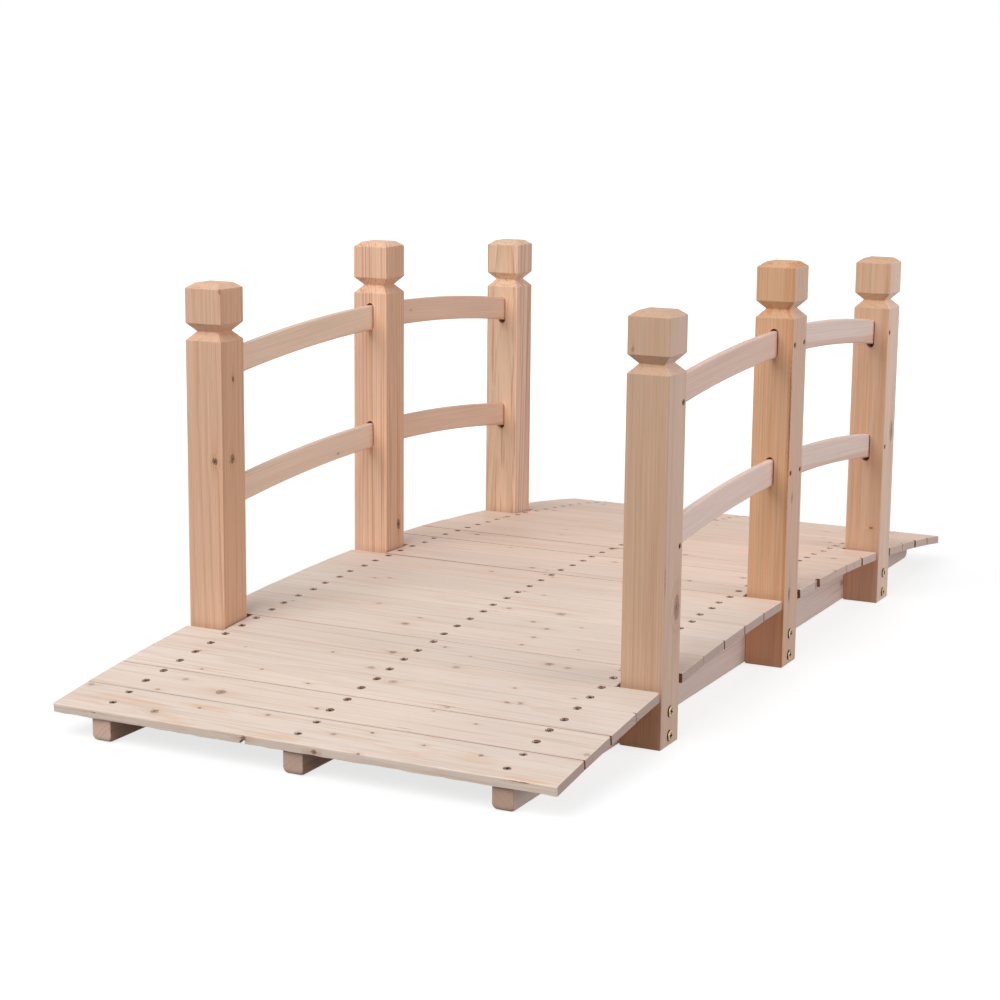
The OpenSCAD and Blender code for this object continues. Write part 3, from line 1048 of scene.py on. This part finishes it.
def build_board(i, knots, heads):
    """One board of the deck; the heads of its screws are added to heads."""
    axes, origin = board_axes(i)
    shift = NEAR_SHIFT * (BOARD_N - i) / (BOARD_N - 1)
    ends = board_ends(i, shift)
    piece = skin_object(f"board_{i:02d}", board_loops(i, axes, origin, ends))
    seats = bmesh.new()
    for at in board_screws(axes, origin, shift):
        add_countersink(seats, at, axes[2], DECK_HOLE_R, DECK_HOLE_DEPTH)
        sink = DECK_SCREW_SINK + rng.uniform(-0.3, 0.4) * MM
        add_flat_head(heads, at - axes[2] * sink, axes[2], DECK_SCREW_R)
    if i == 1:
        add_bite(seats, front_point(BITE_PIXEL))
    chips = end_chips(i)
    for at, half in chips:
        add_chip(seats, at, half, ends[0])
    cut(piece, to_object(seats, "seats"))
    dress(piece, "deck_wood", axes, origin, deck_log(i), knots + stray_knots(i, axes, origin),
          stain_and_shade=lambda face: max(board_stain_and_shade(i, axes, origin, face), chip_shade(chips, ends[0], face)),
          face_tint=lambda face, point: board_tint(i, chips, ends[0], face, point),
          is_sap=lambda face: is_front(i, face))
    keep(piece, "deck_wood", f"deck_board_{i:02d}")


def build_deck():
    heads = bmesh.new()
    for i, knots in seen_knots().items():
        build_board(i, knots, heads)
    finish_metal(heads, "deck_screws", DARK_STEEL, Z_AXIS)


# Stringers

def stringer_top(x):
    return ARCH_Z + math.sqrt(ARCH_R ** 2 - x * x)


def stringer_rows(half_length):
    """Stations along a stringer as (x, height of the lower edge, inset)."""
    rows = []
    for s in TOE_STEPS:
        lift = STRINGER_TOE - math.sqrt(STRINGER_TOE ** 2 - (STRINGER_TOE - s) ** 2)
        rows.append((half_length - s, lift, END_EASE if s == 0 else 0))
    toe_x = half_length - STRINGER_TOE
    middle = [(x, 0, 0) for x in spread(toe_x, -toe_x, STRINGER_STEP)]
    return rows + middle[1:-1] + [(-x, lift, inset) for x, lift, inset in reversed(rows)]


def stringer_tint(line, face):
    """Painted shade darkens the sides that lie wholly under the deck, and the sawn ends differ."""
    if abs(face.normal.x) > FACING:
        return STRINGER_END_TINT[line]
    inner = line == "middle" or face.normal.y * SIDES[line] < 0
    return UNDER_DECK_SHADE if inner else NO_TINT


def build_stringer(line):
    low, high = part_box("stringer_" + line)
    radii = [STRINGER_LOWER_ROUND] * 2 + [STRINGER_UPPER_EASE] * 2
    loops = []
    for x, lift, inset in stringer_rows(high.x):
        top = stringer_top(x)
        outline = rounded_outline(low.y, high.y, lift, top, radii, (3, 6))
        if inset:
            outline = inset_outline(outline, low.y, high.y, lift, top, inset, inset)
        loops.append([Vector((x, y, z)) for y, z in outline])
    piece = skin_object("stringer_beam_" + line, loops)
    knots = []
    for _ in range(STRINGER_KNOTS):
        at = Vector((stray(0.65), rng.choice((low.y, high.y)), rng.uniform(0.02, 0.06)))
        knots.append((at, rng.uniform(2.5, 6) * MM, rng.uniform(0.4, 0.7), KNOT_STRETCH))
    drift = (stray(0.01), stray(0.01))
    pith = (STRINGER_PITH[line], rng.uniform(-70, -50))
    log = Log(pith, drift, 2.3, tint=shade(stray(3)), streaks=0.5)
    dress(piece, "stringer_wood", (X_AXIS, Y_AXIS, Z_AXIS), Vector((0, (low.y + high.y) / 2, 0)), log, knots,
          face_tint=lambda face, point: stringer_tint(line, face))
    keep(piece, "stringer_wood", "stringer_" + line)


# Rails

# How far heartwood stays below the middle of a rail, in mm, and the tints of the rails, partly painted light
# and shade: lighter and cooler on most right rails, darker and warmer on the far left ones
HEART_DROP = 10.0
FAR_RIGHT_HEART_DROP = 2.5
RAIL_HUE_AND_LIGHT = {
    ("left", "near", "upper"): (1.0, 0.97, 0.9), ("left", "near", "lower"): (0.97, 0.95, 0.9),
    ("left", "far", "upper"): (0.94, 0.84, 0.76), ("left", "far", "lower"): (0.94, 0.84, 0.76),
    ("right", "near", "upper"): (1.01, 0.93, 0.92), ("right", "near", "lower"): (1.04, 1.03, 1.07),
    ("right", "far", "upper"): (1.04, 1.06, 1.11), ("right", "far", "lower"): (1.04, 1.05, 1.09),
}


def rail_crown(side, level):
    """Height of a rail's top edge over the middle of the bridge."""
    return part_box(f"rail_{side}_far_{level}")[1].z


def rail_top(crown, x):
    return crown - RAIL_R + math.sqrt(RAIL_R ** 2 - x * x)


def rail_bottom(crown, x):
    return crown - RAIL_R + math.sqrt((RAIL_R - RAIL_H) ** 2 - x * x)


def rail_log(side, bay, level):
    """Rails sawn along their chord, with heartwood in their lower part, most of all in the right far bay;
    the left ones are a little warmer and most right ones lighter and cooler, partly as painted light and
    shade."""
    drop = FAR_RIGHT_HEART_DROP if (side, bay) == ("right", "far") else HEART_DROP
    below = rng.uniform(60, 90)
    slope = -RAIL_SLOPE if bay == "far" else RAIL_SLOPE
    return Log((stray(8), -below), (stray(0.01), slope), rng.uniform(3.0, 4.5),
               shade(stray(3), RAIL_HUE_AND_LIGHT[side, bay, level]), heart=below - drop, bold=0.6)


def build_rail(side, bay, level):
    name = f"{side}_{bay}_{level}"
    low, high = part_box(f"rail_{name}")
    crown = rail_crown(side, level)
    loops = []
    for x in spread(low.x, high.x, RAIL_STEP):
        bottom, top = rail_bottom(crown, x), rail_top(crown, x)
        outline = rounded_outline(low.y, high.y, bottom, top, [RAIL_ROUND] * 4, (1, 5))
        loops.append([Vector((x, y, z)) for y, z in outline])
    piece = skin_object(f"bar_{name}", loops)
    knots = []
    for _ in range(rng.randint(0, 2)):
        at = Vector((rng.uniform(low.x + 0.05, high.x - 0.05), rng.choice((low.y, high.y)), 0))
        at.z = rail_top(crown, at.x) - rng.uniform(8, 27) * MM
        knots.append((at, rng.uniform(1.2, 2.2) * MM, rng.uniform(0.3, 0.5), KNOT_STRETCH))
    dress(piece, "rail_wood", (X_AXIS, Y_AXIS, Z_AXIS), (low + high) / 2, rail_log(side, bay, level), knots)
    keep(piece, "rail_wood", f"rail_{name}")


# Posts

# Stations along the bridge, with the ways that their mortised faces look
STATIONS = {"near": (1,), "middle": (1, -1), "far": (-1,)}
# How each post was sawn; across the fibre, pith and drift run along X and then along Y
POST_LOGS = {
    ("left", "near"): Log((70, 26), (0.006, 0.004), 3.0, (1.01, 0.985, 0.985), streaks=0.5, bold=0.55),
    ("left", "middle"): Log((-60, 42), (0.0, 0.004), 3.1, (1.18, 1.16, 1.17), streaks=0.4, bold=1.1),
    ("left", "far"): Log((8, -3), (0.036, 0.0), 7.0, (1.11, 1.17, 1.19), streaks=0.7, bold=1.3),
    ("right", "near"): Log((10, 90), (0.0, 0.003), 3.0, (0.85, 0.85, 0.845), streaks=0.25, bold=0.45),
    ("right", "middle"): Log((34, -72), (0.004, 0.004), 2.8, (0.94, 0.87, 0.76), 1.3, heart=80, bold=0.55),
    ("right", "far"): Log((58, -24), (0.008, 0.0), 4.5, (0.92, 0.91, 0.88), streaks=1.0, bold=0.4),
}
# Right posts show pale sapwood outside, with painted cool light on it; left posts get painted warm shade
# inside;
# the fronts get painted light below the deck, and the arrises a painted highlight
OUTER_FACE_LIGHT = {"near": (1.1, 1.15, 1.27), "middle": (1.0, 1.08, 1.31), "far": (1.18, 1.31, 1.55)}
INNER_FACE_SHADE = {"near": (0.88, 0.83, 0.78), "middle": (0.78, 0.75, 0.73), "far": (0.93, 0.93, 1.01)}
FOOT_LIGHT = {"near": (1.25, 1.04, 0.9), "middle": (1.45, 1.3, 1.3), "far": (1.32, 1.2, 1.22)}
ARRIS_HIGHLIGHT = (1.12, 1.07, 1.05)
# Knots and cracks seen on the posts: axis that the front or right face is square to, place in the photograph,
# radius in mm, darkness and stretch
FRONT, RIGHT = 0, 1
POST_KNOTS = {
    ("left", "near"): ((RIGHT, (233, 379), 2.2, 0.9, 0.6), (FRONT, (215, 461.5), 4.2, 0.9, 0.95),
                       (FRONT, (194.5, 284), 3.0, 0.35, 1.0), (RIGHT, (219.5, 291), 2.5, 0.5, 0.5),
                       (RIGHT, (232.5, 459), 5.0, 0.8, 0.85)),
    ("left", "middle"): ((RIGHT, (398.5, 524), 4.5, 0.95, 0.6), (RIGHT, (380, 344), 1.6, 0.6, 0.6)),
    ("left", "far"): (),
    ("right", "near"): ((RIGHT, (676.5, 608), 8.0, 0.6, 0.5), (FRONT, (633, 349), 2.0, 0.4, 0.6),
                        (RIGHT, (665.2, 583), 0.8, 0.9, 0.05)),
    ("right", "middle"): ((RIGHT, (789, 594), 4.0, 0.6, 0.4), (RIGHT, (792, 498), 3.0, 0.5, 0.4),
                          (FRONT, (789.5, 425), 1.6, 0.45, 0.02)),
    ("right", "far"): ((RIGHT, (891, 431), 6.5, 0.6, 0.4), (FRONT, (871, 528), 3.4, 0.9, 2.6)),
}


def post_path(half, height):
    """Half width against height of a post: shaft, V groove, head and bevelled top."""
    head_top = height - HEAD_BEVEL_H
    groove_top = head_top - HEAD_H
    top = half - HEAD_BEVEL_W
    points = [(half - FOOT_EASE, 0), (half, FOOT_EASE), (half, groove_top - GROOVE_H),
              (half - GROOVE_D, groove_top - GROOVE_H / 2), (half, groove_top), (half, head_top),
              (top, height - HEAD_DOME_H), (top - HEAD_DOME_W, height)]
    return with_cells(eased_path(points, POST_EASES), POST_STEP)


def mortise_cutter(bm, face_x, facing, y, half_y, top, bottom):
    """A slot with round ends, cut into the face of a post that looks along facing."""
    outline = []
    for middle, start in ((top - half_y, 0), (bottom + half_y, math.pi)):
        for k in range(MORTISE_STEPS + 1):
            angle = start + math.pi * k / MORTISE_STEPS
            outline.append((half_y * math.cos(angle), middle + half_y * math.sin(angle)))
    deep, clear = face_x - facing * MORTISE_DEPTH, face_x + facing * 1 * MM
    add_skin(bm, [[Vector((x, y + dy, z)) for dy, z in outline] for x in (deep, clear)])


def post_tint(side, station, face, point):
    """How a point of one face of a post differs from the rest: a painted highlight on the arrises, painted
    light on the outer faces of right posts and on the fronts below the deck, and painted shade on the inner
    faces of left posts.
    """
    if min(abs(face.normal.x), abs(face.normal.y)) > ARRIS_FACING:
        return ARRIS_HIGHLIGHT
    if face.normal.y < -FACING:
        return (OUTER_FACE_LIGHT if side == "right" else INNER_FACE_SHADE)[station]
    if abs(face.normal.x) > FACING:
        below_deck = stringer_top(face.center.x) + BOARD_T - point.z
        return partly(FOOT_LIGHT[station], unit(below_deck / FOOT_FADE))
    return NO_TINT


def mortise_gaps(station):
    """Room above and below a rail: rails rest on the middle posts, and hang from the others."""
    if station == "middle":
        return MORTISE_WIDE_GAP, MORTISE_TIGHT_GAP
    return MORTISE_TIGHT_GAP, MORTISE_WIDE_GAP


def cut_rail_seats(cutters, screws, side, station, low, high, outer_y):
    """Mortises of the rails that meet a post, and the screws that hold them."""
    above, below = mortise_gaps(station)
    outward = Y_AXIS * SIDES[side]
    for facing in STATIONS[station]:
        face_x = high.x if facing > 0 else low.x
        bay = "far" if face_x > 0 else "near"
        near_x = abs(face_x)
        deep_x = near_x if station == "middle" else near_x + MORTISE_DEPTH
        for level in LEVELS:
            crown = rail_crown(side, level)
            rail_low, rail_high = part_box(f"rail_{side}_{bay}_{level}")
            mortise_cutter(cutters, face_x, facing, (rail_low.y + rail_high.y) / 2,
                           (rail_high.y - rail_low.y) / 2 + MORTISE_SIDE,
                           rail_top(crown, near_x) + above, rail_bottom(crown, deep_x) - below)
            screw_x = face_x - facing * RAIL_SCREW_IN
            at = Vector((screw_x, outer_y, rail_top(crown, abs(screw_x)) - RAIL_H / 2))
            add_countersink(cutters, at, outward, RAIL_HOLE_R, RAIL_HOLE_DEPTH)
            add_flat_head(screws, at - outward * RAIL_SCREW_SINK, outward, RAIL_SCREW_R)


def build_post(side, station, bolts, screws):
    """One post; the heads of its bolts and screws are added to bolts and screws."""
    low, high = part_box(f"post_{side}_{station}")
    middle = (low + high) / 2
    outer_y = high.y if side == "left" else low.y
    loops = []
    for half, z in post_path((high.x - low.x) / 2, high.z):
        outline = rounded_outline(-half, half, -half, half, [POST_ARRIS] * 4, (4, 4))
        loops.append([Vector((middle.x + x, middle.y + y, z)) for x, y in outline])
    piece = skin_object(f"square_post_{side}_{station}", loops)
    cutters = bmesh.new()
    cut_rail_seats(cutters, screws, side, station, low, high, outer_y)
    for z in BOLT_HEIGHTS:
        add_bolt_head(bolts, Vector((middle.x, outer_y, z)), Y_AXIS * SIDES[side])
    cut(piece, to_object(cutters, "cutters"))
    knots = [(plane_point(pixel, axis, low[axis]), radius * MM, dark, stretch)
             for axis, pixel, radius, dark, stretch in POST_KNOTS[side, station]]
    dress(piece, "post_wood", (Z_AXIS, X_AXIS, Y_AXIS), Vector((middle.x, middle.y, 0)),
          POST_LOGS[side, station], knots,
          face_tint=lambda face, point: post_tint(side, station, face, point),
          is_sap=lambda face: face.normal.y < -FACING)
    keep(piece, "post_wood", f"post_{side}_{station}")


def build_railings():
    for side in SIDES:
        for bay in BAYS:
            for level in LEVELS:
                build_rail(side, bay, level)
    bolts, screws = bmesh.new(), bmesh.new()
    for side in SIDES:
        for station in STATIONS:
            build_post(side, station, bolts, screws)
    finish_metal(bolts, "post_bolts", BRASS_STEEL, Y_AXIS)
    finish_metal(screws, "rail_screws", BLACK_STEEL, Y_AXIS)


# Studio

AMBIENT = 0.4
KEY_POWER = 144.0
KEY_AT = (-3.4, 0.8, 3.6)
KEY_SIZE = 4.2
KEY_COLOUR = (1, 1, 1)
SIDE_POWER = 24.5
SIDE_AT = (0.3, -2.6, 1.0)
SIDE_SIZE = 2.0
SIDE_COLOUR = (0.97, 1.0, 1.05)
LIT_PLACE = (0.0, 0.0, 0.25)
FLOOR_SIZE = 9
FLOOR_Z = -0.2 * MM
FLOOR_BOUNCE = (0.18, 0.18, 0.18, 1)
FLOOR_SHADE = (0.36, 0.36, 0.36, 1)
FLOOR_GLOW = 0.75
# Past this distance the floor brightens to plain white
SHADOW_REACH = 1.0


def seen_directly(g):
    """1 for rays from the camera, from gloss and through glass; 0 for rays that light the object."""
    path = g.node("ShaderNodeLightPath")
    seen = g.math("MAXIMUM", path.outputs["Is Camera Ray"], path.outputs["Is Glossy Ray"])
    return g.math("MAXIMUM", seen, path.outputs["Is Transmission Ray"])


def add_world():
    world = bpy.data.worlds.new("studio")
    bpy.context.scene.world = world
    g = Graph(world)
    fill = g.node("ShaderNodeBackground", {"Color": WHITE, "Strength": AMBIENT})
    white = g.node("ShaderNodeBackground", {"Color": WHITE, "Strength": 1.0})
    g.show(g.choose(seen_directly(g), fill, white), "World")


def add_soft_box(name, power, at, size, colour):
    """A round soft light that looks at the bridge."""
    data = bpy.data.lights.new(name, "AREA")
    data.shape = "DISK"
    data.size = size
    data.energy = power
    data.color = colour
    box = bpy.data.objects.new(name, data)
    box.location = at
    box.rotation_mode = "QUATERNION"
    box.rotation_quaternion = (Vector(at) - Vector(LIT_PLACE)).to_track_quat("Z", "Y")
    bpy.context.scene.collection.objects.link(box)


def add_floor():
    bm = bmesh.new()
    bmesh.ops.create_grid(bm, x_segments=8, y_segments=8, size=FLOOR_SIZE)
    floor = to_object(bm, "floor")
    floor.location.z = FLOOR_Z
    material = bpy.data.materials.new("floor")
    g = Graph(material)
    plain = g.node("ShaderNodeBsdfDiffuse", {"Color": FLOOR_BOUNCE})
    shaded = g.node("ShaderNodeBsdfDiffuse", {"Color": FLOOR_SHADE})
    away = g.vector("LENGTH", g.node("ShaderNodeTexCoord").outputs["Object"])
    beyond = g.times(g.minus(away, SHADOW_REACH), 1 - FLOOR_GLOW, clamp=True)
    strength = g.plus(FLOOR_GLOW, g.math("MINIMUM", beyond, 1 - FLOOR_GLOW))
    glow = g.node("ShaderNodeEmission", {"Color": WHITE, "Strength": strength})
    both = g.node("ShaderNodeAddShader", {0: shaded.outputs[0], 1: glow.outputs[0]})
    g.show(g.choose(seen_directly(g), plain, both))
    floor.data.materials.append(material)


add_camera()
build_deck()
for line in LINES:
    build_stringer(line)
build_railings()
add_world()
add_soft_box("key", KEY_POWER, KEY_AT, KEY_SIZE, KEY_COLOUR)
add_soft_box("side", SIDE_POWER, SIDE_AT, SIDE_SIZE, SIDE_COLOUR)
add_floor()
bpy.context.scene.view_settings.view_transform = "Standard"
